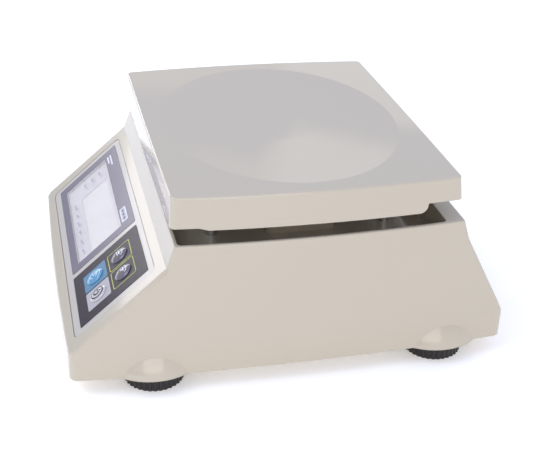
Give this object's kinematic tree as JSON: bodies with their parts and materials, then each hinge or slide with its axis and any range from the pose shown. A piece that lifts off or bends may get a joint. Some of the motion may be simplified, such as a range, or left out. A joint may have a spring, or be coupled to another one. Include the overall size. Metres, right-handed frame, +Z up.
{
  "type": "counting scale",
  "caption": "Bench counting scale with a rectangular lift-off platter over a raised casing, a sloping display panel with domed keys, a battery compartment and screw-adjustable levelling feet.",
  "frame": {"origin": "on the surface the feet stand on, under the middle of the overall box", "axes": "+X to the user's right as they face the display, +Y from the display towards the back, +Z up"},
  "size_m": [0.2636, 0.3036, 0.137],
  "materials": {
    "casing_plastic": "moulded, light gloss",
    "platter_plastic": "moulded, light gloss",
    "base_plastic": "moulded, fine texture",
    "bezel_plastic": "smooth",
    "display_film": "printed film, satin",
    "keypad_film": "printed film, satin",
    "window_glass": "clear window",
    "lcd_glass": "liquid crystal panel",
    "backlight": "diffuser",
    "circuit_board": "solder mask",
    "black_plastic": "moulded",
    "key_violet": "embossed dome",
    "key_blue": "embossed dome",
    "key_silver": "embossed dome",
    "screw_steel": "zinc plated",
    "stud_steel": "zinc plated thread",
    "pad_rubber": "moulded",
    "cast_aluminium": "die cast, matt",
    "cell_aluminium": "milled",
    "frame_metal": "black coated",
    "level_glass": "clear",
    "level_liquid": "tinted liquid",
    "lead_sheath": "sheathed lead",
    "ribbon_sheath": "flat ribbon",
    "battery_metal": "printed jacket",
    "contact_metal": "nickel plated",
    "label_film": "blank plate",
    "insert_brass": "turned",
    "foot_pad": "moulded",
    "foot_plastic": "moulded, scalloped rim"
  },
  "bodies": {
    "casing": {"base_housing": "base_plastic", "battery_cells": "battery_metal", "battery_lead": "lead_sheath", "battery_plates": "contact_metal", "battery_springs": "contact_metal", "battery_tray": "base_plastic", "board_components": "black_plastic", "case_screws": "screw_steel", "cell_bolts_fixed": "screw_steel", "cell_bolts_live": "screw_steel", "cell_frame": "frame_metal", "cell_lead": "lead_sheath", "dc_jack": "black_plastic", "display_board": "circuit_board", "display_board_screws": "screw_steel", "display_film": "display_film", "display_window": "window_glass", "dust_collar": "base_plastic", "foot_inserts": "insert_brass", "frame_screws": "screw_steel", "key_switches": "black_plastic", "keypad_film": "keypad_film", "lcd_backlight": "backlight", "lcd_glass": "lcd_glass", "level_cup": "base_plastic", "level_glass": "level_glass", "level_liquid": "level_liquid", "load_cell": "cell_aluminium", "main_board": "circuit_board", "main_board_screws": "screw_steel", "overload_screw": "screw_steel", "overload_stops": "screw_steel", "panel_bezel": "bezel_plastic", "panel_ribbon": "ribbon_sheath", "platter_support": "cast_aluminium", "rating_plate": "label_film", "support_pads": "pad_rubber", "support_post": "cast_aluminium", "upper_housing": "casing_plastic"},
    "weighing_platter": {"platter": "platter_plastic"},
    "battery_cover": {"battery_door": "base_plastic"},
    "key_upper_left_body": {"key_upper_left": "key_violet"},
    "key_upper_right_body": {"key_upper_right": "key_violet"},
    "key_lower_left_body": {"key_lower_left": "key_blue"},
    "key_lower_right_body": {"key_lower_right": "key_silver"},
    "foot_pad_front_left_body": {"foot_pad_front_left": "foot_pad"},
    "foot_screw_front_left_body": {"foot_knob_front_left": "foot_plastic", "foot_stud_front_left": "stud_steel"},
    "foot_pad_front_right_body": {"foot_pad_front_right": "foot_pad"},
    "foot_screw_front_right_body": {"foot_knob_front_right": "foot_plastic", "foot_stud_front_right": "stud_steel"},
    "foot_pad_rear_left_body": {"foot_pad_rear_left": "foot_pad"},
    "foot_screw_rear_left_body": {"foot_knob_rear_left": "foot_plastic", "foot_stud_rear_left": "stud_steel"},
    "foot_pad_rear_right_body": {"foot_pad_rear_right": "foot_pad"},
    "foot_screw_rear_right_body": {"foot_knob_rear_right": "foot_plastic", "foot_stud_rear_right": "stud_steel"}
  },
  "joints": [
    {"name": "platter_lift_off", "type": "slide", "parent": "casing", "child": "weighing_platter", "axis": [0, 0, 1], "range_m": [0, 0.06]},
    {"name": "battery_cover_slide", "type": "slide", "parent": "casing", "child": "battery_cover", "axis": [0, -1, 0], "range_m": [0, 0.066]},
    {"name": "key_upper_left_press", "type": "slide", "parent": "casing", "child": "key_upper_left_body", "axis": [0, 0.6616, -0.7499], "range_m": [0, 0.0008], "stiffness_N_per_m": 1200, "springref_m": -0.0004},
    {"name": "key_upper_right_press", "type": "slide", "parent": "casing", "child": "key_upper_right_body", "axis": [0, 0.6616, -0.7499], "range_m": [0, 0.0008], "stiffness_N_per_m": 1200, "springref_m": -0.0004},
    {"name": "key_lower_left_press", "type": "slide", "parent": "casing", "child": "key_lower_left_body", "axis": [0, 0.6616, -0.7499], "range_m": [0, 0.0008], "stiffness_N_per_m": 1200, "springref_m": -0.0004},
    {"name": "key_lower_right_press", "type": "slide", "parent": "casing", "child": "key_lower_right_body", "axis": [0, 0.6616, -0.7499], "range_m": [0, 0.0008], "stiffness_N_per_m": 1200, "springref_m": -0.0004},
    {"name": "foot_lift_front_left", "type": "slide", "parent": "casing", "child": "foot_pad_front_left_body", "axis": [0, 0, -1], "range_m": [0, 0.0075]},
    {"name": "foot_turn_front_left", "type": "hinge", "parent": "foot_pad_front_left_body", "child": "foot_screw_front_left_body", "pos_m": [-0.1065, -0.09325, 0.008], "axis": [0, 0, -1], "range_deg": [0, 2165]},
    {"name": "foot_lift_front_right", "type": "slide", "parent": "casing", "child": "foot_pad_front_right_body", "axis": [0, 0, -1], "range_m": [0, 0.0075]},
    {"name": "foot_turn_front_right", "type": "hinge", "parent": "foot_pad_front_right_body", "child": "foot_screw_front_right_body", "pos_m": [0.1065, -0.09325, 0.008], "axis": [0, 0, -1], "range_deg": [0, 2165]},
    {"name": "foot_lift_rear_left", "type": "slide", "parent": "casing", "child": "foot_pad_rear_left_body", "axis": [0, 0, -1], "range_m": [0, 0.0075]},
    {"name": "foot_turn_rear_left", "type": "hinge", "parent": "foot_pad_rear_left_body", "child": "foot_screw_rear_left_body", "pos_m": [-0.1065, 0.10565, 0.008], "axis": [0, 0, -1], "range_deg": [0, 2165]},
    {"name": "foot_lift_rear_right", "type": "slide", "parent": "casing", "child": "foot_pad_rear_right_body", "axis": [0, 0, -1], "range_m": [0, 0.0075]},
    {"name": "foot_turn_rear_right", "type": "hinge", "parent": "foot_pad_rear_right_body", "child": "foot_screw_rear_right_body", "pos_m": [0.1065, 0.10565, 0.008], "axis": [0, 0, -1], "range_deg": [0, 2165]}
  ],
  "couplings": [
    {"joint": "foot_turn_front_left", "follows": "foot_lift_front_left", "rad_per_m": 5026.5},
    {"joint": "foot_turn_front_right", "follows": "foot_lift_front_right", "rad_per_m": 5026.5},
    {"joint": "foot_turn_rear_left", "follows": "foot_lift_rear_left", "rad_per_m": 5026.5},
    {"joint": "foot_turn_rear_right", "follows": "foot_lift_rear_right", "rad_per_m": 5026.5}
  ]
}
